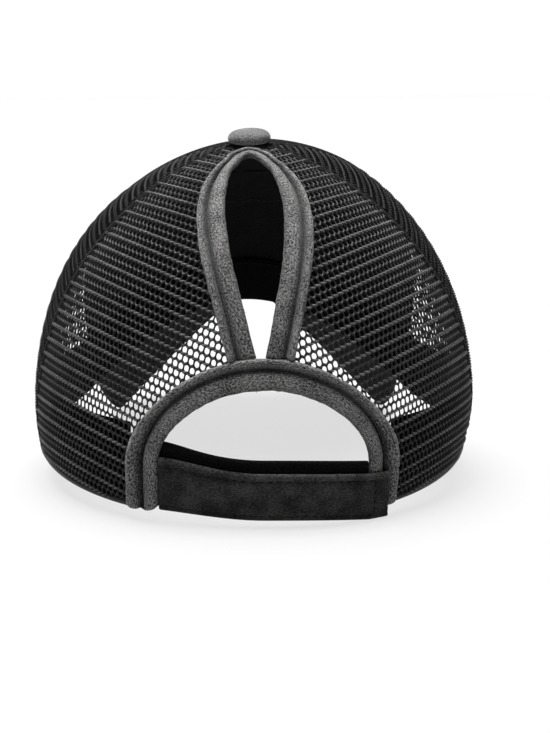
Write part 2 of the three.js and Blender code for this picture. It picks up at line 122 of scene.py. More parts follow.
def crown(angle, z):
    angle, z = np.broadcast_arrays(np.asarray(angle, float), np.asarray(z, float))
    high, wide = powers(angle)
    dome = (1 - np.clip(z / HEIGHT, 0, 1) ** high) ** (1 / wide)
    radius = plan_radius(angle) * dome * tuck(z)
    return np.stack([radius * np.sin(angle), -radius * np.cos(angle), z], -1)


def rise_to_height(angle, rise):
    high, wide = powers(angle)
    end = np.arccos((TOP_HOLE / plan_radius(angle)) ** (wide / 2))
    return HEIGHT * np.sin(np.clip(rise, 0, 1) * end) ** (2 / high)


def height_to_rise(angle, z):
    high, wide = powers(angle)
    end = np.arccos((TOP_HOLE / plan_radius(angle)) ** (wide / 2))
    return np.arcsin(np.clip(z / HEIGHT, 0, 1) ** (high / 2)) / end


def level(points):
    """Below 0 inside the crown and above 0 outside it."""
    x, y, z = points[..., 0], points[..., 1], points[..., 2]
    angle = np.arctan2(x, -y)
    high, wide = powers(angle)
    return ((np.hypot(x, y) / (plan_radius(angle) * tuck(z))) ** wide
            + np.clip(z / HEIGHT, 0, 1) ** high - 1)


def normal_at(points, step=0.05):
    return unit(np.stack([level(points + axis * step) - level(points - axis * step)
                          for axis in np.eye(3)], -1))


def cast(origin, direction):
    near = np.zeros(direction.shape[:-1])
    far = np.full(direction.shape[:-1], 260.0)
    for _ in range(34):
        middle = (near + far) / 2
        inside = level(origin + direction * middle[..., None]) < 0
        near, far = np.where(inside, middle, near), np.where(inside, far, middle)
    return origin + direction * near[..., None]


def rim_height(angle):
    aside = np.abs(np.degrees(np.where(angle > math.pi, angle - 2 * math.pi, angle)))
    front = smooth((aside - RISE_START) / (BRIM_CORNER - RISE_START))
    flat = crown(angle, 0.0)
    crest = BRIM_CREST - BRIM_FALL * (flat[..., 1] - FRONT)
    drop = np.hypot(flat[..., 0], BRIM_RIM_ROUND) - BRIM_RIM_ROUND
    return front * (crest - drop)


def place(points):
    """From the level rim, in millimetres, to the row's frame, in metres."""
    points = np.array(points, float)
    x, y, z = points[..., 0], points[..., 1], points[..., 2]
    high = np.clip(z / HEIGHT, 0, 1)
    low = np.maximum(0, 1 - np.maximum(0, z) / 36) ** 2
    z = z + SHOULDER_RISE * np.clip(x / 30, -1.5, 1.5) * smooth(y / 40 + 0.5) * high ** 2
    x = x + TOP_SHIFT * high ** 3 - RIM_PULL * smooth((x - 20) / 50) * low
    z = z - FLOOR
    turn = math.atan(LEAN)
    y, z = y * math.cos(turn) - z * math.sin(turn), y * math.sin(turn) + z * math.cos(turn)
    return np.stack([x + SHIFT[0], y + SHIFT[1], z], -1) / 1000


# Places on the rear of the crown: x across, s along its middle up from the rim

def measured(path):
    """Distances along a path."""
    steps = np.linalg.norm(np.diff(path, axis=0), axis=1)
    return np.concatenate([[0], np.cumsum(steps)])


REAR_LINE = crown(0.0, rise_to_height(0.0, np.linspace(0, 1, 401)))
REAR_S = measured(REAR_LINE)
REAR_TURN = np.arctan2(REAR_LINE[:, 2], -REAR_LINE[:, 1])


def rear(x, s, out=0.0):
    x, s, out = np.broadcast_arrays(np.asarray(x, float), np.asarray(s, float),
                                    np.asarray(out, float))
    y = np.interp(s, REAR_S, REAR_LINE[:, 1])
    z = np.where(s < 0, s, np.interp(s, REAR_S, REAR_LINE[:, 2]))
    aim = unit(np.stack([np.zeros_like(x), y, z], -1))
    point = cast(np.stack([x, 0 * x, 0 * x], -1), aim)
    return point + normal_at(point) * out[..., None]


def rear_s(points):
    """The s of points on the rear of the crown."""
    turn = np.arctan2(points[..., 2], -points[..., 1])
    return np.where(turn < 0, points[..., 2], np.interp(turn, REAR_TURN, REAR_S))


def curve(points, steps):
    """A smooth line through points, with the same number of steps between each two."""
    points = np.asarray(points, float)
    padded = np.concatenate([2 * points[:1] - points[1:2], points,
                             2 * points[-1:] - points[-2:-1]])
    share = np.linspace(0, len(points) - 1, steps + 1)
    index = np.minimum(share.astype(int), len(points) - 2)
    t = (share - index)[:, None]
    a, b, c, d = (padded[index + k] for k in range(4))
    return 0.5 * (2 * b + (c - a) * t + (2 * a - 5 * b + 4 * c - d) * t ** 2
                  + (3 * b - a - 3 * c + d) * t ** 3)


def arch_line(widening, steps=160, leg=24):
    half, rise = ARCH_HALF + widening, ARCH_TOP - ARCH_SPRING + widening
    turn = math.pi * (1 - np.arange(steps + 1) / steps)
    arc = np.stack([half * np.cos(turn), ARCH_SPRING + rise * np.sin(turn)], -1)
    up = np.stack([np.full(leg, -half), ARCH_SPRING * np.arange(leg) / leg], -1)
    line = np.concatenate([up, arc, (up * [-1, 1])[::-1]])
    return line + [ARCH_SHIFT, 0]


def arch_top(x, widening=ARCH_WIDTH):
    half, rise = ARCH_HALF + widening, ARCH_TOP - ARCH_SPRING + widening
    return ARCH_SPRING + rise * np.sqrt(np.clip(1 - ((x - ARCH_SHIFT) / half) ** 2, 0, 1))


SLOT_OPENING = [(0, 0.155), (0.15, 0.447), (0.313, 0.74), (0.453, 0.92), (0.616, 1),
                (0.724, 0.95), (0.81, 0.835), (0.88, 0.69), (0.93, 0.46), (0.967, 0.31), (1, 0)]
SLOT_OUTLINE = [(0, 0.56), (0.141, 0.73), (0.294, 0.885), (0.436, 0.985), (0.578, 1),
                (0.694, 0.92), (0.78, 0.78), (0.853, 0.6), (0.898, 0.47), (0.949, 0.34), (1, 0)]


def slot_line(table, half, top, steps=280):
    bottom = ARCH_TOP + ARCH_WIDTH + GAP

    def corner(side, along, share):
        x = SLOT_SHIFT + side * half * share
        return x, mix(bottom, top, along) if along > 0 else float(arch_top(x)) + GAP

    left = [corner(-1, along, share) for along, share in table]
    right = [corner(1, along, share) for along, share in table[:-1]]
    return curve(left + right[::-1], steps)


SLOT_EDGE = slot_line(SLOT_OUTLINE, SLOT_BINDING_HALF, SLOT_BINDING_TOP)


def in_bindings(x, s, inset):
    """True where a place is under the bindings or in the openings they edge."""
    half = ARCH_HALF + ARCH_WIDTH - inset
    in_arch = (np.abs(x - ARCH_SHIFT) < half) & (s < arch_top(x, ARCH_WIDTH - inset))
    left = SLOT_EDGE[:len(SLOT_EDGE) // 2 + 1]
    width = SLOT_SHIFT - np.interp(s, left[:, 1], left[:, 0]) - inset
    in_slot = ((np.abs(x - SLOT_SHIFT) < width) & (s < SLOT_BINDING_TOP - inset)
               & (s > ARCH_TOP))
    return in_arch | in_slot


# Meshes

def build(name, parts, materials, replaces=(), uv=None, offsets=None, shade=None):
    """One object from parts: (points, faces, material number), faces with 4 or 3 corners.
    offsets gives each part's first point where parts share their points."""
    points, corners, sizes, numbers = [], [], [], []
    start = 0
    for index, (vertices, faces, number) in enumerate(parts):
        vertices = np.asarray(vertices, float).reshape(-1, 3)
        faces = np.asarray(faces, int)
        points.append(vertices)
        corners.append((faces + (start if offsets is None else offsets[index])).ravel())
        sizes.append(np.full(len(faces), faces.shape[1]))
        numbers.append(np.full(len(faces), number))
        start += len(vertices)
    points = place(np.concatenate(points))
    corners, sizes = np.concatenate(corners), np.concatenate(sizes)
    mesh = bpy.data.meshes.new(name)
    mesh.vertices.add(len(points))
    mesh.vertices.foreach_set("co", points.ravel())
    mesh.loops.add(len(corners))
    mesh.loops.foreach_set("vertex_index", corners)
    mesh.polygons.add(len(sizes))
    mesh.polygons.foreach_set("loop_start", np.concatenate([[0], np.cumsum(sizes)[:-1]]))
    mesh.polygons.foreach_set("loop_total", sizes)
    for material in materials:
        mesh.materials.append(material)
    mesh.polygons.foreach_set("material_index", np.concatenate(numbers))
    if uv is not None:
        layer = mesh.uv_layers.new(name="cloth")
        layer.data.foreach_set("uv", np.asarray(uv, float)[corners].ravel())
    if shade is not None:
        layer = mesh.attributes.new("shade", "FLOAT", "POINT")
        layer.data.foreach_set("value", np.asarray(shade, float))
    mesh.update(calc_edges=True)
    mesh.validate()
    mesh.shade_smooth()
    item = bpy.data.objects.new(name, mesh)
    bpy.context.scene.collection.objects.link(item)
    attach(item, "root")
    if replaces:
        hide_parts(*replaces)


def quads(rows, count):
    """Quads between rows of points, where each row is a ring of count points."""
    row, side = np.meshgrid(np.arange(rows - 1), np.arange(count), indexing="ij")
    a, b = row * count + side, row * count + (side + 1) % count
    return np.stack([a, b, b + count, a + count], -1).reshape(-1, 4)


def outward(points, faces):
    """Faces turned over if the closed body's volume comes out negative."""
    a, b, c = (points[faces[:, k]] for k in (0, 1, 2))
    d = points[faces[:, -1]]
    volume = (a * np.cross(b, c)).sum() + ((a * np.cross(c, d)).sum() if faces.shape[1] == 4 else 0)
    return faces if volume > 0 else faces[:, ::-1]


def solid(sections, number=0):
    """A body from an array of rings (rows, points in a ring, 3), closed at both ends."""
    rows, count = sections.shape[:2]
    k = np.arange(count // 2 - 1)
    first = np.stack([k, k + 1, count - 2 - k, count - 1 - k], -1)[:, ::-1]
    last = (rows - 1) * count + first[:, ::-1]
    points = sections.reshape(-1, 3)
    faces = np.concatenate([quads(rows, count), first, last])
    return points, outward(points, faces), number


def tube(path, normals, radii, flat=1.0, number=0):
    """A six-sided tube along a path. flat is its thickness along the normals as a share of
    its width."""
    path = np.asarray(path, float)
    along = unit(np.gradient(path, axis=0))
    across = unit(np.cross(normals, along))
    up = np.cross(along, across)
    turn = 2 * math.pi * np.arange(6) / 6
    radii = np.broadcast_to(np.asarray(radii, float), (len(path),))[:, None, None]
    section = (path[:, None] + radii * (np.cos(turn)[None, :, None] * across[:, None]
                                        + flat * np.sin(turn)[None, :, None] * up[:, None]))
    return solid(section, number)


def joined(parts):
    """Parts with faces of one size as a single part."""
    points, faces, start = [], [], 0
    for vertices, corners, number in parts:
        points.append(vertices)
        faces.append(corners + start)
        start += len(vertices)
    return np.concatenate(points), np.concatenate(faces), number


def whole_uv(parts, uv):
    """The first part's uv, with zeros for the points of the other parts."""
    corners = np.zeros((sum(len(part[0]) for part in parts), 2))
    corners[:len(uv)] = uv
    return corners


def along_path(path, distance):
    length = measured(path)
    return np.stack([np.interp(distance, length, path[:, k]) for k in range(3)], -1)


def stitches(path, normals, length=2.5, gap=0.7, radius=0.26, lift=0.1, number=0):
    """Sewn thread along a path: a row of short arched stitches."""
    total = measured(path)[-1]
    count = max(1, int(total / (length + gap)))
    starts = (np.arange(count) + 0.5) * total / count
    shares = np.array([-0.5, -0.42, -0.2, 0, 0.2, 0.42, 0.5])
    swell = np.array([0.2, 0.75, 1, 1.04, 1, 0.75, 0.2])
    arch = np.array([-1.2, -0.4, 0.25, 0.4, 0.25, -0.4, -1.2]) * radius
    at = starts[:, None] + shares[None] * length
    centre = along_path(path, at.ravel()).reshape(count, 7, 3)
    index = np.interp(at, measured(path), np.arange(len(path)))
    low = np.clip(index.astype(int), 0, len(path) - 1)
    up = unit(np.asarray(normals)[low])
    along = unit(centre[:, -1] - centre[:, 0])[:, None].repeat(7, 1)
    across = unit(np.cross(up, along))
    up = np.cross(along, across)
    centre = centre + up * (lift + arch[None, :, None])
    turn = 2 * math.pi * np.arange(5) / 5
    ring = (centre[:, :, None] + (radius * swell)[None, :, None, None]
            * (np.cos(turn)[None, None, :, None] * across[:, :, None]
               + np.sin(turn)[None, None, :, None] * up[:, :, None]))
    faces = (quads(7, 5)[None] + 35 * np.arange(count)[:, None, None]).reshape(-1, 4)
    return ring.reshape(-1, 3), faces[:, ::-1], number


# Materials

def nodes_of(name):
    material = bpy.data.materials.new(name)
    material.use_nodes = True
    tree = material.node_tree
    return material, tree, tree.nodes["Principled BSDF"]


def add(tree, kind, inputs=None, **settings):
    node = tree.nodes.new(kind)
    for key, value in settings.items():
        setattr(node, key, value)
    for key, value in (inputs or {}).items():
        if isinstance(value, bpy.types.NodeSocket):
            tree.links.new(value, node.inputs[key])
        else:
            node.inputs[key].default_value = value
    return node


def grey(value, warm=0.0):
    return (value * (1 + warm), value, value * (1 - 1.4 * warm), 1.0)


def ramp(tree, factor, stops):
    node = add(tree, "ShaderNodeValToRGB", {"Fac": factor})
    elements = node.color_ramp.elements
    while len(elements) < len(stops):
        elements.new(0.5)
    for element, (position, colour) in zip(elements, stops):
        element.position, element.color = position, colour
    return node.outputs["Color"]


def noise(tree, vector, scale, detail=2.0, roughness=0.5):
    return add(tree, "ShaderNodeTexNoise", {"Vector": vector, "Scale": scale, "Detail": detail,
                                            "Roughness": roughness}).outputs["Fac"]


def math_node(tree, operation, a, b=0.0):
    return add(tree, "ShaderNodeMath", {0: a, 1: b}, operation=operation).outputs[0]


def bump(tree, shader, height, distance):
    node = add(tree, "ShaderNodeBump", {"Height": height, "Distance": distance})
    tree.links.new(node.outputs["Normal"], shader.inputs["Normal"])


def cloth(name, dark, light, speck=1500.0, contrast=(0.38, 0.62), warm=0.01, weave="knit",
          rough=0.95, sheen=0.2, specular=0.06, depth=0.0003, patches=0.1, uses_uv=False,
          grain=(1.0, 1.0, 1.0), shaded=False):
    """Cloth of mixed yarns: fine light and dark specks over a knit, woven or fluffy relief.
    shaded cloth carries painted shade and painted highlights: its colour is scaled by the mesh's
    shade attribute, darker in creases and grooves and lighter on rolled and upper edges."""
    material, tree, shader = nodes_of(name)
    where = add(tree, "ShaderNodeTexCoord").outputs["UV" if uses_uv else "Object"]
    place_of = add(tree, "ShaderNodeTexCoord").outputs["Object"]
    stretched = add(tree, "ShaderNodeVectorMath", {0: where, 1: grain},
                    operation="MULTIPLY").outputs[0]
    fine = noise(tree, stretched, speck, 2.0, 0.7)
    broad = noise(tree, place_of, 130.0, 2.0)
    mixed = math_node(tree, "ADD", fine, math_node(tree, "MULTIPLY", math_node(
        tree, "SUBTRACT", broad, 0.5), patches * 2))
    colour = ramp(tree, mixed, [(contrast[0], grey(dark, warm)),
                                (mix(*contrast, 0.5), grey(mix(dark, light, 0.42), warm)),
                                (contrast[1], grey(light, warm))])
    if shaded:
        # Painted shade and painted highlights: the mesh's shade attribute scales the cloth's colour
        share = add(tree, "ShaderNodeAttribute", attribute_name="shade").outputs["Fac"]
        colour = add(tree, "ShaderNodeVectorMath", {0: colour, "Scale": share},
                     operation="SCALE").outputs[0]
    tree.links.new(colour, shader.inputs["Base Color"])
    shader.inputs["Roughness"].default_value = rough
    shader.inputs["Specular IOR Level"].default_value = specular
    shader.inputs["Sheen Weight"].default_value = sheen
    shader.inputs["Sheen Roughness"].default_value = 0.5
    if weave == "twill":
        across = add(tree, "ShaderNodeTexWave", {"Vector": where, "Scale": 420.0,
                                                 "Distortion": 0.6, "Detail": 1.0},
                     bands_direction="DIAGONAL").outputs["Fac"]
        relief = math_node(tree, "ADD", math_node(tree, "MULTIPLY", across, 0.8),
                           math_node(tree, "MULTIPLY", fine, 0.5))
    else:
        relief = fine
    bump(tree, shader, relief, depth)
    return material


def strand(name, dark, light, rough=0.5, specular=0.3):
    """Shiny twisted yarn of the net."""
    material, tree, shader = nodes_of(name)
    where = add(tree, "ShaderNodeTexCoord").outputs["Object"]
    fine = noise(tree, where, 1900.0, 2.0, 0.6)
    broad = noise(tree, where, 90.0, 2.0)
    mixed = math_node(tree, "ADD", fine, math_node(tree, "MULTIPLY", math_node(
        tree, "SUBTRACT", broad, 0.5), 0.5))
    colour = ramp(tree, mixed, [(0.36, grey(dark)), (0.66, grey(light))])
    tree.links.new(colour, shader.inputs["Base Color"])
    shader.inputs["Roughness"].default_value = rough
    shader.inputs["Specular IOR Level"].default_value = specular
    bump(tree, shader, fine, 0.00018)
    return material


MATERIALS = {
    "net": strand("net_yarn", 0.004, 0.018),
    "rib": strand("rib_yarn", 0.03, 0.1),
    # The side panels' net and ribs: the rear's yarn with darker colours, painted shade for the sides,
    # where the key light falls more strongly
    "side_net": strand("side_net_yarn_painted_shade", 0.002, 0.009, specular=0.12),
    "side_rib": strand("side_rib_yarn_painted_shade", 0.004, 0.014, rough=0.6, specular=0.08),
    "binding": cloth("heather_binding", 0.014, 0.2, speck=1800.0, uses_uv=True,
                     grain=(0.7, 1.0, 1.0), sheen=0.1, shaded=True),
    "button": cloth("heather_button", 0.03, 0.2, speck=2300.0),
    "strap": cloth("strap_cloth", 0.01, 0.046, speck=1500.0, uses_uv=True, contrast=(0.34, 0.68),
                   grain=(0.8, 1.0, 1.0), sheen=0.03, patches=0.35, shaded=True),
    "inner": cloth("inner_cloth", 0.001, 0.006, speck=1800.0, sheen=0.02),
    "sweat": cloth("sweatband_cloth", 0.001, 0.004, speck=1800.0, sheen=0.0),
    "front": cloth("front_cloth", 0.003, 0.009, speck=1500.0, weave="twill", uses_uv=True,
                   sheen=0.02),
    "lining": cloth("lining_edge", 0.012, 0.03, speck=1500.0, sheen=0.02),
    "thread": strand("sewing_thread", 0.002, 0.008, rough=0.6, specular=0.1),
    "tape": cloth("seam_tape", 0.003, 0.010, speck=1500.0, sheen=0.03),
}


# The net: rows of holes along the ribs, laid over the crown from the middle of a panel

# The way the camera looks, and its right and up
VIEW_RISE, VIEW_TURN = math.radians(16.5), math.radians(2.0)
VIEW = np.array([math.sin(VIEW_TURN) * math.cos(VIEW_RISE),
                 math.cos(VIEW_TURN) * math.cos(VIEW_RISE), -math.sin(VIEW_RISE)])
VIEW_RIGHT = np.array([math.cos(VIEW_TURN), -math.sin(VIEW_TURN), 0.0])
VIEW_UP = np.cross(VIEW_RIGHT, VIEW)


def rear_lean(side):
    """Normals of the planes that the ribs of a rear panel lie in, for heights of the ribs."""
    def normals(z):
        slope = np.radians(mix(24.5, 17.0, smooth((z - 78) / 32)))[:, None]
        return VIEW_UP * np.cos(slope) - side * VIEW_RIGHT * np.sin(slope)
    return normals


def side_lean(angle, tilt=29.0):
    def normals(z):
        turn = math.radians(tilt)
        inward = np.array([-math.sin(angle), math.cos(angle), 0.0])
        normal = inward * math.sin(turn) + np.array([0, 0, math.cos(turn)])
        return np.repeat(normal[None], len(z), 0)
    return normals


def cloth_chart(middle, lean):
    """A panel's cloth laid flat: u along the ribs from the middle, v from rib to rib."""
    heights = np.concatenate([np.linspace(-60, 0, 61)[:-1],
                              rise_to_height(middle, np.linspace(0, 1, 400))])
    line = crown(middle, heights)
    length = measured(line)
    length -= length[60]
    v = np.arange(-20 * ROW, length[-1] - 0.5, ROW / 2)
    base = np.stack([np.interp(v, length, line[:, k]) for k in range(3)], -1)
    normal = unit(lean(base[:, 2]))
    centre = np.zeros_like(base)
    centre[:, 2] = (normal * base).sum(1) / normal[:, 2]
    ahead = unit(base - centre)
    aside = np.cross(normal, ahead)
    turn = np.radians(np.linspace(-118, 118, 237))
    direction = (np.cos(turn)[None, :, None] * ahead[:, None]
                 + np.sin(turn)[None, :, None] * aside[:, None])
    points = cast(centre[:, None].repeat(len(turn), 1), direction)
    u = np.arange(-130, 130.5, 1.0)
    grid = np.empty((len(v), len(u), 3))
    for row in range(len(v)):
        reach = measured(points[row])
        reach -= reach[len(turn) // 2]
        for axis in range(3):
            grid[row, :, axis] = np.interp(u, reach, points[row, :, axis])
    return u, v, grid


def on_chart(chart, u, v):
    us, vs, grid = chart
    a = np.clip((u - us[0]) / (us[1] - us[0]), 0, len(us) - 1.001)
    b = np.clip((v - vs[0]) / (vs[1] - vs[0]), 0, len(vs) - 1.001)
    i, j = a.astype(int), b.astype(int)
    a, b = (a - i)[..., None], (b - j)[..., None]
    return ((grid[j, i] * (1 - a) + grid[j, i + 1] * a) * (1 - b)
            + (grid[j + 1, i] * (1 - a) + grid[j + 1, i + 1] * a) * b)


def seam_line(seam, steps=200):
    """A seam's angle and height, from the rim to the top."""
    share = np.linspace(0, 1, steps + 1)
    angle = np.radians(mix(seam[0], seam[1], rise_to_height(0.0, share) / HEIGHT))
    rise = mix(height_to_rise(angle, rim_height(angle)), 1, share)
    return angle, rise_to_height(angle, rise)


def seam_angle(seam, z):
    if seam is None:
        return np.zeros_like(z)
    angle, height = seam_line(seam)
    return np.interp(z, height, angle)


def wobble(u, v, scale):
    """A small smooth unevenness, the same for every cell that shares a place."""
    return scale * (np.sin(1.93 * u + 0.71 * v + 1.2) * np.sin(0.83 * v - 0.37 * u)
                    + 0.6 * np.sin(0.53 * u - 1.31 * v + 0.4))


def net_panel(name, side, middle_angle, lean, first, second, replaces, kind):
    """The net of one panel between its first and second seams: holes with thin walls, and
    a dashed rib over every second row of strands. A rear panel has no first seam."""
    chart = cloth_chart(side * math.radians(middle_angle), lean)
    vs = chart[1]

    def inside(points, margin):
        angle = side * np.arctan2(points[..., 0], -points[..., 1])
        z = points[..., 2]
        radius = np.maximum(np.hypot(points[..., 0], points[..., 1]), 1.0)
        good = ((angle > seam_angle(first, z) - margin / radius)
                & (angle < seam_angle(second, z) + margin / radius)
                & (z > rim_height(angle) - margin) & (radius > 5.5))
        if first is None:
            good &= ~in_bindings(points[..., 0], rear_s(points), 1.6)
        return good

    def trimmed(points):
        angle = side * np.arctan2(points[..., 0], -points[..., 1])
        z = points[..., 2]
        edge = 0.2 / np.maximum(np.hypot(points[..., 0], points[..., 1]), 1.0)
        kept = np.clip(angle, seam_angle(first, z) + edge, seam_angle(second, z) - edge)
        low = np.maximum(z, rim_height(kept) + 0.1)
        moved = (np.abs(kept - angle) > 1e-9) | (np.abs(low - z) > 1e-9)
        return np.where(moved[..., None], crown(side * kept, np.minimum(low, HEIGHT - 0.01)),
                        points)

    rows = np.arange(math.ceil(vs[0] / ROW), math.floor(vs[-1] / ROW))
    columns = np.arange(-58, 59)
    row, column = np.meshgrid(rows, columns, indexing="ij")
    cell_u = (column + 0.5 * (row % 2)) * PITCH
    cell_v = row * ROW
    good = inside(on_chart(chart, cell_u, cell_v), 0.9)
    cell_u, cell_v = cell_u[good], cell_v[good]
    turn = np.arange(12) * math.pi / 6
    corner = PITCH / math.sqrt(3)
    reach = np.where(np.arange(12) % 2 == 0, corner, corner * math.cos(math.pi / 6))
    stretch = ROW / (1.5 * corner)
    hole = PITCH / 2 - STRAND
    levels = [(None, 0.34), (0.45, 0.26), (1.0, 0.0), (None, -0.34)]
    sheets = []
    for share, lift in levels:
        edge = hole * (1 + 0.04 * np.cos(6 * turn)) * (1 - 0.12 * np.cos(turn) ** 2)
        radius = reach if share is None else mix(reach, edge, share)
        u = cell_u[:, None] + radius * np.sin(turn)
        v = cell_v[:, None] + radius * np.cos(turn) * stretch
        u, v = u + wobble(u, v, 0.05), v + wobble(v, u, 0.05)
        point = trimmed(on_chart(chart, u, v))
        knot = 0.1 * (np.arange(12) % 2 == 0) * np.sign(lift) if share is None else 0
        sheets.append(point + normal_at(point) * (lift + knot + wobble(u, v, 0.03))[..., None])
    sheets = np.stack(sheets, 1)
    count = len(cell_u)
    face = quads(4, 12)[:, [0, 3, 2, 1]]
    faces = (face[None] + 48 * np.arange(count)[:, None, None]).reshape(-1, 4)
    parts = [(sheets.reshape(-1, 3), faces, 0)]

    ribs = []
    half = int(128 / PITCH)
    shares = np.array([0.0, 0.16, 0.5, 0.84])
    place_of = np.arange(-half, half)[:, None] + shares
    u, share = (place_of * PITCH).ravel(), np.tile(shares, 2 * half)
    rise = np.tile([-0.5, -0.34, 0.1, 0.5], 2 * half) * side
    swell = np.tile([0.0, 0.9, 1.0, 0.7], 2 * half)
    for number in rows[rows % 2 == 0]:
        v = (number + 0.5) * ROW + rise * RIB_SLANT
        line = on_chart(chart, u, v)
        mask = inside(line, 0.0)
        edges = np.flatnonzero(np.diff(np.concatenate([[0], mask.astype(int), [0]])))
        for start, end in zip(edges[::2], edges[1::2]):
            if end - start < 4:
                continue
            path = trimmed(line[start:end])
            up = normal_at(path)
            thick = 0.1 + 0.34 * swell[start:end] + wobble(u[start:end], v[start:end], 0.02)
            ribs.append(tube(path + up * (0.56 * swell[start:end, None]), up, thick,
                             flat=0.85, number=1))
    parts.append(joined(ribs))
    build(name, parts, [MATERIALS[kind + "net"], MATERIALS[kind + "rib"]], replaces)


REAR_MIDDLE_ANGLE, SIDE_MIDDLE_ANGLE = 40.0, 104.0
for word, side in (("left", -1), ("right", 1)):
    net_panel(f"net_rear_{word}", side, REAR_MIDDLE_ANGLE, rear_lean(side), None, REAR_SEAM,
              [f"rear_panel_{word}"], "")
    # The side panels take the side_ yarns, which carry painted shade
    net_panel(f"net_side_{word}", side, SIDE_MIDDLE_ANGLE,
              side_lean(side * math.radians(SIDE_MIDDLE_ANGLE)), REAR_SEAM, FRONT_SEAM,
              [f"side_panel_{word}"], "side_")


# Seams between the panels, and the narrow hem along the rim of the net

def crown_strip(angle, z, half, lift):
    """A narrow band over the crown along a line of angles and heights."""
    path = crown(angle, z)
    up = normal_at(path)
    along = unit(np.gradient(path, axis=0))
    across = np.cross(along, up)
    profile = [(-1.0, -0.5), (-0.96, 0.1), (-0.6, 0.72), (0, 1.0), (0.6, 0.72), (0.96, 0.1),
               (1.0, -0.5), (0.6, -1.2), (0, -1.3), (-0.6, -1.2)]
    section = np.stack([path + across * a * half + up * b * lift for a, b in profile], 1)
    return solid(section)


def panel_seams():
    parts = []
    for side in (-1, 1):
        for seam in (REAR_SEAM, FRONT_SEAM):
            angle, height = seam_line(seam, 120)
            keep = height < HEIGHT - 0.4
            angle, height = side * angle[keep], height[keep]
            parts.append(crown_strip(angle, height, 1.5, 0.75))
            radius = np.hypot(*crown(angle, height)[:, :2].T)
            for offset in (-2.3, 2.3):
                path = crown(angle + offset / np.maximum(radius, 12), height)
                up = normal_at(path)
                parts.append(stitches(path + up * 0.35, up, number=1))
    build("panel_seams", parts, [MATERIALS["tape"], MATERIALS["thread"]])


def net_hem():
    foot = math.atan2(ARCH_HALF + ARCH_WIDTH, 78.0)
    angle = np.linspace(foot + 0.012, math.radians(FRONT_SEAM[0]), 160)
    height = rim_height(angle) + 0.7
    parts = [crown_strip(side * angle, height, 1.2, 0.85) for side in (-1, 1)]
    build("net_hem", parts, [MATERIALS["net"]])


panel_seams()
net_hem()


# Bindings round the openings

def band(inner, outer, profile, groove, depth, height):
    """A binding between two lines on the rear of the crown. profile: (across, out) round its
    section. Along the line, groove is where the groove lies across it, depth how much deeper
    it is than the profile's, and height the share of the rolled edge's height."""
    sections = []
    for across, out in profile:
        low = across < GROOVE
        share = np.where(low, across * groove / GROOVE,
                         1 - (1 - across) * (1 - groove) / (1 - GROOVE))[:, None]
        spot = mix(inner, outer, share)
        # The ends of the arch's legs are round
        spot[:, 1] += 2.6 * np.abs(2 * share[:, 0] - 1) ** 2.5 * np.exp(-spot[:, 1] / 4)
        lift = 0.9 + (out - 0.9) * height if across > 0.6 and out > 0.9 else out
        sink = depth * math.exp(-((across - GROOVE) / 0.05) ** 2) * (out > -0.5)
        sections.append(rear(spot[:, 0], spot[:, 1], lift - sink))
    return np.stack(sections, 1)


GROOVE = 0.575

# Painted shade and painted highlight across the binding's section, as a factor on its colour: painted
# shade in the groove beside the rolled edge and at the inner edge, painted highlight on the rolled
# edge
BINDING_PAINTED_SHADE = [(-1, 0.55), (0.0, 0.62), (0.07, 0.95), (0.25, 1.1), (0.42, 0.9), (0.52, 0.42),
                 (0.6, 0.3), (0.66, 0.5), (0.74, 0.95), (0.88, 1.15), (0.96, 1.3), (1.02, 0.9)]

BINDING = curve([(0.0, -0.2), (0.01, 0.5), (0.06, 1.0), (0.16, 1.3), (0.3, 1.38), (0.42, 1.15),
                 (0.5, 0.6), (0.555, -0.1), (0.6, -0.2), (0.645, 0.5), (0.69, 1.5), (0.77, 2.25),
                 (0.87, 2.5), (0.95, 2.05), (1.0, 1.0), (1.01, 0.1), (0.96, -0.8),
                 (0.7, -1.05), (0.35, -1.05), (0.06, -0.95), (0.0, -0.2)], 80)[:-1]


def soften(sections, amount):
    """Uneven cloth: small seeded swellings that run along and across a band."""
    rows, count = sections.shape[:2]
    field = rng.normal(size=(rows, count))
    for _ in range(3):
        field = (field + np.roll(field, 1, 0) + np.roll(field, -1, 0)
                 + np.roll(field, 1, 1) + np.roll(field, -1, 1)) / 5
    centre = sections.mean(1, keepdims=True)
    return sections + unit(sections - centre) * (field * amount / field.std())[..., None]


# How many of the section's points lie on its outer face, where fibres stand off
OUTER_FACE = 62


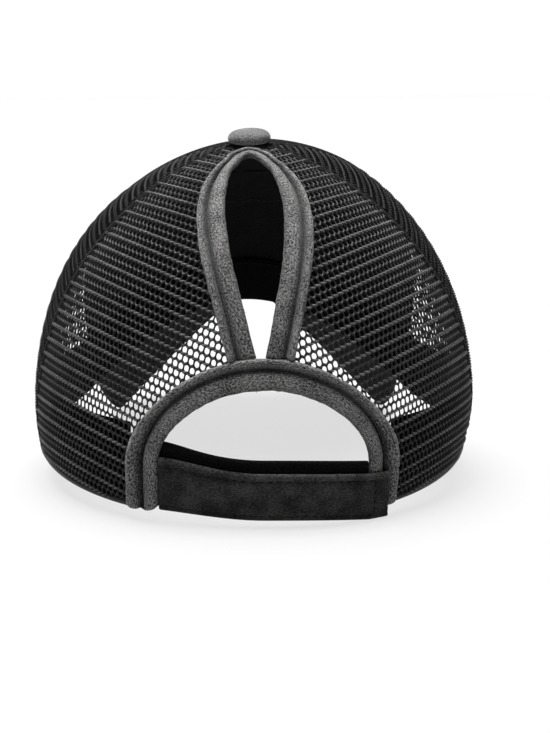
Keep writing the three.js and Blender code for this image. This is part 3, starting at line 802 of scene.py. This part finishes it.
def binding(name, inner, outer, replaces, groove, depth, height, light):
    """A binding with its loose fibres. light is painted light along the line: a factor on the cloth's
    colour, above 1 where it is to look more lit and below 1 where less.
    """
    sections = soften(band(inner, outer, BINDING, groove, depth, height), 0.07)
    lengths = measured(sections[:, 0])
    around = np.linalg.norm(np.diff(sections, axis=1), axis=2).mean(0)
    around = np.concatenate([[0], np.cumsum(around)])
    uv = np.stack(np.broadcast_arrays(lengths[:, None] / 1000, around[None] / 1000),
                  -1).reshape(-1, 2)
    points, faces, number = solid(sections)
    # Painted shade and painted highlight: the section's factor, painted shade on the underside
    # against the crown, more painted shade in a deepened groove, and the painted light along the line
    shade = np.interp(BINDING[:, 0], *np.transpose(BINDING_PAINTED_SHADE))
    shade[BINDING[:, 1] < -0.5] = 0.6
    dark = 0.7 * depth[:, None] * np.exp(-((BINDING[:, 0] - GROOVE) / 0.05) ** 2)
    shade = shade * light[:, None] * (1 - np.clip(dark, 0, 0.8))
    # Loose fibres that stand off the cloth
    count = int(lengths[-1] * 2.4)
    row = rng.integers(2, len(sections) - 2, count)
    side = rng.integers(0, OUTER_FACE, count)
    root = sections[row, side]
    out = unit(root - sections.mean(1)[row] + normal_at(root) * 0.8)
    lean = unit(out + rng.normal(size=(count, 3)) * 0.7)
    reach = rng.uniform(0.35, 0.95, (count, 1))
    width = unit(np.cross(lean, rng.normal(size=(count, 3)))) * 0.045
    bend = rng.normal(size=(count, 3)) * 0.22
    fibre = np.stack([root - width, root + width, root + lean * reach * 0.6 + width + bend * 0.4,
                      root + lean * reach * 0.6 - width + bend * 0.4,
                      root + lean * reach + bend], 1).reshape(-1, 3)
    first = 5 * np.arange(count)[:, None]
    index = np.repeat(row * sections.shape[1] + side, 5)
    uv = np.concatenate([uv, uv[index]])
    shade = np.concatenate([shade.ravel(), shade.ravel()[index]])
    parts = [(points, faces, 0), (fibre, first + [[0, 1, 2, 3]], 0),
             (fibre[:0], first + [[3, 2, 4]], 0)]
    build(name, parts, [MATERIALS["binding"]], replaces, uv=uv,
          offsets=[0, len(points), len(points)], shade=shade)


def arch_binding():
    inner, outer = arch_line(0), arch_line(ARCH_WIDTH)
    leg = smooth((np.abs(np.linspace(-1, 1, len(inner))) - 0.3) / 0.4)
    # The legs' groove is sunk deeper and gets more painted shade; no painted light along the arch
    binding("binding_arch", inner, outer, ["arch_binding"], groove=mix(0.67, 0.52, leg),
            depth=leg, height=mix(0.8, 1.0, leg), light=np.ones(len(inner)))


def slot_binding():
    inner, up = slot_line(SLOT_OPENING, SLOT_HALF, SLOT_TOP), SLOT_EDGE[:, 1]
    # Painted light along the slot: its colour is lighter towards the top and darker low down; the
    # groove at the top is sunk deeper and gets painted shade
    binding("binding_slot", inner, SLOT_EDGE, ["slot_binding"], groove=np.full(len(up), 0.66),
            depth=np.exp(-((up - SLOT_BINDING_TOP) / 5) ** 2),
            height=1 - 0.6 * smooth((up - 122) / 30),
            light=mix(0.84, 1.14, smooth((up - 80) / 65)))


arch_binding()
slot_binding()


# Straps

TOP_STITCH, LOW_STITCH, END_STITCH = STRAP_HEIGHT - 2.8, 1.9, 5.4


def strap_lift(x):
    left, right = -ARCH_HALF, ARCH_HALF + STRAP_OVERLAP
    sunk = np.clip((x - ARCH_SHIFT) / (right - 7.0), 0, 1) ** 2
    slack = smooth((x - ARCH_SHIFT - left) / ARCH_HALF)
    return mix(mix(4.2, 2.2, slack), 0.0, sunk)


STAND_OFF = INNER_STRAP_WALL / 2 + GAP + STRAP_WALL / 2
STRAP_END = rear(ARCH_SHIFT + ARCH_HALF + STRAP_OVERLAP, 0.0, STAND_OFF)


def strap_point(x, rise, out, lift):
    foot_y = rear(x, 0.0, out)[..., 1]
    floor = -STRAP_END_BELOW - (foot_y - STRAP_END[1]) * LEAN
    z = floor + (lift + rise) / math.cos(math.atan(LEAN))
    point = rear(x, z, out)
    point[..., 2] = z
    return point


def strap_section(creases):
    """(rise, out) round a strap's section, bottom front first, thinner at its sewn creases."""
    front = []
    for rise in np.linspace(0.0, STRAP_HEIGHT, 34):
        edge = min(rise, STRAP_HEIGHT - rise)
        out = math.sqrt(max(0.0, 1 - (1 - min(1, edge / 0.9)) ** 2))
        for place_of, deep, wide in creases:
            out -= deep * math.exp(-((rise - place_of) / wide) ** 2)
        front.append((rise, out))
    back = [(rise, -math.sqrt(max(0.0, 1 - (1 - min(1, min(rise, STRAP_HEIGHT - rise) / 0.9)) ** 2)))
            for rise in np.linspace(STRAP_HEIGHT, 0.0, 18)[1:-1]]
    return front + back


def strap(name, start, end, offset, lift, creases, end_crease, material, replaces, sag,
          flare):
    """A strap from start to end across the rear. offset and lift give its place off the crown
    and off the floor; sag is how uneven its front is, and flare how much taller its start."""
    section = strap_section(creases)
    x = np.concatenate([[start], start + 0.25
                        + np.linspace(0, 1, 170) * (end - start - 0.5), [end]])
    rise = np.array([row[0] for row in section])
    out = np.array([row[1] for row in section])
    shrink = np.ones(len(x))
    shrink[[0, -1]] = 0.55
    fade = np.ones(len(x)) if end_crease is None else (
        1 - 0.3 * np.exp(-((x - (end - end_crease)) / 0.45) ** 2))
    grid_x, grid_rise = np.meshgrid(x, rise, indexing="ij")
    grid_rise = STRAP_HEIGHT / 2 + (grid_rise - STRAP_HEIGHT / 2) * mix(1, shrink[:, None], 0.04)
    grid_rise = grid_rise * (1 + flare / STRAP_HEIGHT * np.exp(-((grid_x - start) / 17) ** 2))
    wave = sag * (np.sin(grid_x / 9.0 + 0.6) * np.sin(grid_rise / 6.5)
                  + 0.6 * np.sin(grid_x / 4.1 + grid_rise / 5.0))
    away = (offset(grid_x) + out[None] * STRAP_WALL / 2 * (shrink * fade)[:, None]
            + np.where(out[None] > 0, wave, 0))
    points = strap_point(grid_x, grid_rise, away, lift(grid_x))
    uv = np.stack([grid_x / 1000, grid_rise / 1000], -1).reshape(-1, 2)
    # Painted shade and painted highlights on the strap: darker in the sewn creases at the stitch
    # lines, lighter along its bottom and top edges and at its end
    shade = np.interp(rise, [0, 0.5, 2.6, 12, TOP_STITCH, TOP_STITCH + 0.8, STRAP_HEIGHT],
                      [1.1, 0.6, 0.75, 1.0, 0.7, 1.15, 1.6])
    shade = shade[None] * np.interp(x, [end - 1.2, end - 0.2], [1.0, 1.6])[:, None]
    build(name, [solid(points)], [material], replaces, uv=uv, shade=shade.ravel())


OUTER_START, OUTER_END = ARCH_SHIFT - ARCH_HALF + GAP, ARCH_SHIFT + ARCH_HALF + STRAP_OVERLAP


def outer_offset(x):
    return STAND_OFF * smooth((x - OUTER_START) / (2 * ARCH_HALF))


def inner_offset(x):
    return outer_offset(x) - STAND_OFF - GAP / 3


strap("strap_front", OUTER_START, OUTER_END, outer_offset, strap_lift,
      [(TOP_STITCH, 0.42, 0.4), (LOW_STITCH, 0.32, 0.4)], END_STITCH, MATERIALS["strap"],
      ["strap_outer"], 0.12, 2.4)
strap("strap_back", ARCH_SHIFT - ARCH_HALF - 4.0, ARCH_SHIFT + ARCH_HALF - GAP, inner_offset,
      lambda x: strap_lift(x) + 4.2, [(TOP_STITCH, 0.3, 0.4)], None, MATERIALS["inner"],
      ["strap_inner"], 0.08, 3.6)


def strap_thread():
    last = OUTER_END - END_STITCH
    along = np.linspace(OUTER_START + 1, last, 160)
    rows = [(along, np.full(160, TOP_STITCH), 0.62), (along, np.full(160, LOW_STITCH), 0.62),
            (np.full(60, last), np.linspace(LOW_STITCH, TOP_STITCH, 60), 0.7)]
    parts = []
    for x, rise, out in rows:
        path = strap_point(x, rise, outer_offset(x) + out, strap_lift(x))
        parts.append(stitches(path, normal_at(rear(x, 8.0)), length=2.2, gap=0.8, radius=0.22,
                              lift=0.05))
    build("strap_thread", parts, [MATERIALS["thread"]])


strap_thread()


# Sweatband and front panel

def sweat_height(angle):
    return mix(SWEATBAND_REAR, SWEATBAND_FRONT, (1 - np.cos(angle)) / 2)


def sweatband():
    start = math.atan2(ARCH_SHIFT + ARCH_HALF + ARCH_WIDTH, 77.6) + 2 * GAP / REAR
    angle = np.linspace(start, 2 * math.pi - start, 260)
    low = rim_height(angle) + 0.6
    tall = sweat_height(angle)
    profile = [(0.0, 0.3), (0.01, 0.05), (0.05, 0.0), (0.3, 0.0), (0.6, 0.0), (0.86, 0.0),
               (0.9, 0.12), (0.94, 0.0), (0.985, 0.05), (1.0, 0.4), (0.985, 0.95), (0.92, 1.2),
               (0.6, 1.2), (0.3, 1.2), (0.05, 1.2), (0.01, 1.1)]
    sections = []
    for share, deep in profile:
        z = low + tall * share
        normal = normal_at(crown(angle, np.maximum(z, 1.0)))
        sections.append(crown(angle, z) - normal * (SWEATBAND_INSET + deep))
    top = low + tall * 0.9
    normal = normal_at(crown(angle, np.maximum(top, 1.0)))
    path = crown(angle, top) - normal * (SWEATBAND_INSET + 1.25)
    build("sweat_band", [solid(np.stack(sections, 1)), stitches(path, -normal, number=1)],
          [MATERIALS["sweat"], MATERIALS["thread"]], ["sweatband"])


sweatband()


def front_panel():
    share = np.linspace(0, 1, 73)
    columns = 150
    edge_angle, edge_height = seam_line(FRONT_SEAM, 72)
    radius = np.maximum(np.hypot(*crown(edge_angle, edge_height)[:, :2].T), TOP_HOLE)
    first = edge_angle + GAP / 2 / radius
    angle = mix(first[:, None], 2 * math.pi - first[:, None], np.linspace(0, 1, columns + 1)[None])
    rise = mix(height_to_rise(angle, rim_height(angle)), 1, share[:, None])
    middle = crown(angle, rise_to_height(angle, rise))
    normal = normal_at(middle)
    inner = middle - normal * CLOTH_HALF
    # Inside: the stiff lining ends in a low step, and above it the cloth is plain
    step = smooth((share[:, None] - 0.66 - 0.006 * np.sin(angle * 9)) / 0.02)
    inner = inner - normal * (0.35 * (1 - step))[..., None]
    # Folds of the lining: angle from the middle in degrees, depth and width
    for fold, depth, width in ((-21, 0.5, 1.6), (-9, 0.35, 1.1), (2.5, 0.5, 1.3), (11, 0.3, 1.5),
                               (19, 0.5, 1.2)):
        ridge = np.exp(-((np.degrees(angle) - 180 - fold) / width) ** 2)
        inner = inner - normal * (depth * ridge * np.sin(share[:, None] * math.pi) ** 0.5)[..., None]
    outer = middle + normal * CLOTH_HALF
    sections = np.concatenate([outer, inner[:, ::-1]], 1)
    uv = np.stack([np.concatenate([angle, angle[:, ::-1]], 1) * 0.09,
                   np.concatenate([rise, rise[:, ::-1]], 1) * 0.16], -1).reshape(-1, 2)
    parts = [solid(sections)]
    # Two lines of the lining inside: height, how wavy, how thick and the material's number
    turn = math.pi + np.radians(np.linspace(-44, 44, 240))
    for height, waves, thick, number in ((76.6, 0.5, 0.24, 1), (92.6, 0.15, 0.4, 0)):
        z = height + waves * (np.sin(turn * 37) + 0.6 * np.sin(turn * 71 + 1))
        path = crown(turn, z)
        up = normal_at(path)
        parts.append(tube(path - up * 1.35, up, thick, number=number))
    build("crown_front", parts, [MATERIALS["front"], MATERIALS["lining"]],
          ["front_panel"], uv=whole_uv(parts, uv))


front_panel()


# Brim

def brim_inner(u):
    angle = math.pi - u * math.radians(180 - BRIM_CORNER)
    point = crown(angle, rim_height(angle))
    # Just inside the front panel's outer face, so that no light falls through
    return point + unit(point * [1, 1, 0]) * 0.5


def brim_point(u, v):
    """The middle of the brim's thickness: u from corner to corner, v out from the crown."""
    u, v = np.broadcast_arrays(np.asarray(u, float), np.asarray(v, float))
    inner, corner = brim_inner(u), brim_inner(np.array(1.0))
    turn = u * math.pi / 2
    power = 2 / BRIM_POWER
    across = np.sign(turn) * np.abs(np.sin(turn)) ** power
    ahead = np.maximum(0, np.cos(turn)) ** power
    x = mix(inner[..., 0], (corner[0] + BRIM_CORNER_OUT) * across, v)
    y = mix(inner[..., 1], corner[1] + (FRONT + BRIM_REACH - corner[1]) * ahead, v)
    away = smooth(np.hypot(x - inner[..., 0], y - inner[..., 1]) / BRIM_BLEND)
    rounding = mix(BRIM_RIM_ROUND, BRIM_EDGE_ROUND, away)
    drop = np.hypot(x, rounding) - rounding
    z = BRIM_CREST - BRIM_FALL * (y - FRONT) - drop + BRIM_HALF
    return np.stack([x + BRIM_SWAY * away, y, z], -1)


def brim_normal(u, v):
    u = np.clip(u, -0.97, 0.97)
    along = brim_point(u + 0.02, v) - brim_point(u - 0.02, v)
    ahead = brim_point(u, v + 0.02) - brim_point(u, v - 0.02)
    normal = unit(np.cross(along, ahead))
    return normal * np.sign(normal[..., 2:3])


def brim():
    u = np.linspace(-1, 1, 181)
    levels = [(0.0, 0.0), (0.004, 0.8), (0.02, 1.0), *[(v, 1.0) for v in np.linspace(0.06, 0.94, 26)],
              (0.965, 1.02), (0.972, 0.9), (0.98, 1.06), (0.99, 1.0), (0.997, 0.7), (1.0, 0.0)]
    below = [(v, -h) for v, h in levels[::-1][1:-1]]
    sections = []
    for v, high in levels + below:
        sections.append(brim_point(u, np.full_like(u, v))
                        + brim_normal(u, np.full_like(u, v)) * high * BRIM_HALF)
    sections = np.stack(sections, 1)
    uv = sections[..., :2].reshape(-1, 2) / 1000
    parts = [solid(sections)]
    for v in (0.18, 0.34, 0.5, 0.66, 0.82, 0.94):
        path = brim_point(u, np.full_like(u, v))
        normal = brim_normal(u, np.full_like(u, v))
        for side in (1, -1):
            parts.append(stitches(path[4:-4] + normal[4:-4] * BRIM_HALF * side, normal[4:-4] * side,
                                  length=2.8, gap=0.9, radius=0.24, lift=0.02, number=1))
    build("brim_cloth", parts, [MATERIALS["front"], MATERIALS["thread"]],
          ["brim"], uv=whole_uv(parts, uv))


brim()


# Button

def button():
    profile = curve([(0.0, 0.0), (0.5, 0.0), (0.86, 0.01), (0.97, 0.14), (1.0, 0.34), (0.95, 0.58),
                     (0.8, 0.8), (0.55, 0.93), (0.28, 0.985), (0.001, 1.0)], 54)
    turn = 2 * math.pi * np.arange(96) / 96
    gather = 1 + 0.012 * np.sin(turn * 13 + 0.7)[:, None] * np.clip(1 - profile[:, 1], 0, 1)[None]
    x = profile[None, :, 0] * BUTTON_RADIUS * gather * np.cos(turn)[:, None]
    y = profile[None, :, 0] * BUTTON_RADIUS * gather * np.sin(turn)[:, None]
    z = (HEIGHT + CLOTH_HALF + GAP
         + np.broadcast_to(profile[None, :, 1] * BUTTON_HEIGHT, x.shape))
    sections = np.stack([x, y, z], -1)
    rows, count = sections.shape[:2]
    row, side = np.meshgrid(np.arange(rows), np.arange(count - 1), indexing="ij")
    following = (row + 1) % rows
    faces = np.stack([row * count + side, following * count + side,
                      following * count + side + 1, row * count + side + 1], -1).reshape(-1, 4)
    points = sections.reshape(-1, 3)
    build("button_cloth", [(points, outward(points, faces), 0)], [MATERIALS["button"]],
          ["top_button"])


button()


# Floor, light and camera

def paper(name, albedo, glow, specular):
    """Pale paper that glows a little, so that the cap's shadow on it stays light."""
    material, _, shader = nodes_of(name)
    shader.inputs["Base Color"].default_value = grey(albedo)
    shader.inputs["Roughness"].default_value = 0.9
    shader.inputs["Specular IOR Level"].default_value = specular
    shader.inputs["Emission Color"].default_value = (1, 1, 1, 1)
    shader.inputs["Emission Strength"].default_value = glow
    return material


def floor():
    """A floor that curves up into a backdrop in front of the camera, in metres."""
    turn = np.radians(np.linspace(0, 90, 24))
    depth = np.concatenate([[-6.0, 4.0], 4.0 + 1.6 * np.sin(turn[1:]), [5.6]])
    up = np.concatenate([[0.0, 0.0], 1.6 * (1 - np.cos(turn[1:])), [6.0]])
    mesh = bpy.data.meshes.new("floor")
    corners = [(x, y, z) for y, z in zip(depth, up) for x in (-7.0, 7.0)]
    mesh.from_pydata(corners, [], [(2 * k, 2 * k + 1, 2 * k + 3, 2 * k + 2)
                                   for k in range(len(depth) - 1)])
    mesh.materials.append(paper("floor_paper", 0.1, 0.7, 0.1))
    mesh.materials.append(paper("backdrop_paper", 0.6, 0.6, 0.5))
    mesh.polygons.foreach_set("material_index", [0] + [1] * (len(depth) - 2))
    mesh.shade_smooth()
    item = bpy.data.objects.new("floor", mesh)
    bpy.context.scene.collection.objects.link(item)


floor()


def sun(name, toward, spread, strength):
    """Soft light from the direction toward, spread over an angle in degrees."""
    light = bpy.data.lights.new(name, "SUN")
    light.angle, light.energy = math.radians(spread), strength
    item = bpy.data.objects.new(name, light)
    bpy.context.scene.collection.objects.link(item)
    item.rotation_euler = Vector(toward).to_track_quat("Z", "Y").to_euler()


sun("key_light", (-0.1, 0.16, 1.0), 50, 9.0)
sun("fill_light", (-0.35, -1.0, 0.55), 60, 0.3)

world = bpy.data.worlds.new("studio")
world.use_nodes = True
world.node_tree.nodes["Background"].inputs["Color"].default_value = (1, 1, 1, 1)
world.node_tree.nodes["Background"].inputs["Strength"].default_value = 0.1
bpy.context.scene.world = world
bpy.context.scene.view_settings.view_transform = "Standard"


# In pixels of the photo: its size, the focal length, and where the camera's target is
PHOTO_WIDTH, PHOTO_HEIGHT = 550, 733
FOCAL, TARGET_PIXEL = 1820.0, (254, 330)
TARGET_HEIGHT, CAMERA_DISTANCE = 41.4, 700.0


def camera():
    target = np.array([0.0, 0.0, TARGET_HEIGHT])
    turn = math.atan(LEAN)
    lean = np.array([[1, 0, 0], [0, math.cos(turn), -math.sin(turn)],
                     [0, math.sin(turn), math.cos(turn)]])
    location = lean @ (target - CAMERA_DISTANCE * VIEW - [0, 0, FLOOR]) + [*SHIFT, 0]
    right, up, back = lean @ VIEW_RIGHT, lean @ VIEW_UP, -(lean @ VIEW)
    data = bpy.data.cameras.new("camera")
    data.lens = FOCAL / PHOTO_HEIGHT * data.sensor_width
    data.shift_x = (PHOTO_WIDTH / 2 - TARGET_PIXEL[0]) / PHOTO_HEIGHT
    data.shift_y = (TARGET_PIXEL[1] - PHOTO_HEIGHT / 2) / PHOTO_HEIGHT
    item = bpy.data.objects.new("camera", data)
    bpy.context.scene.collection.objects.link(item)
    item.matrix_world = Matrix([[right[k], up[k], back[k], location[k] / 1000] for k in range(3)]
                               + [[0, 0, 0, 1]])
    data.clip_start, data.clip_end = 0.02, 50
    bpy.context.scene.camera = item


camera()
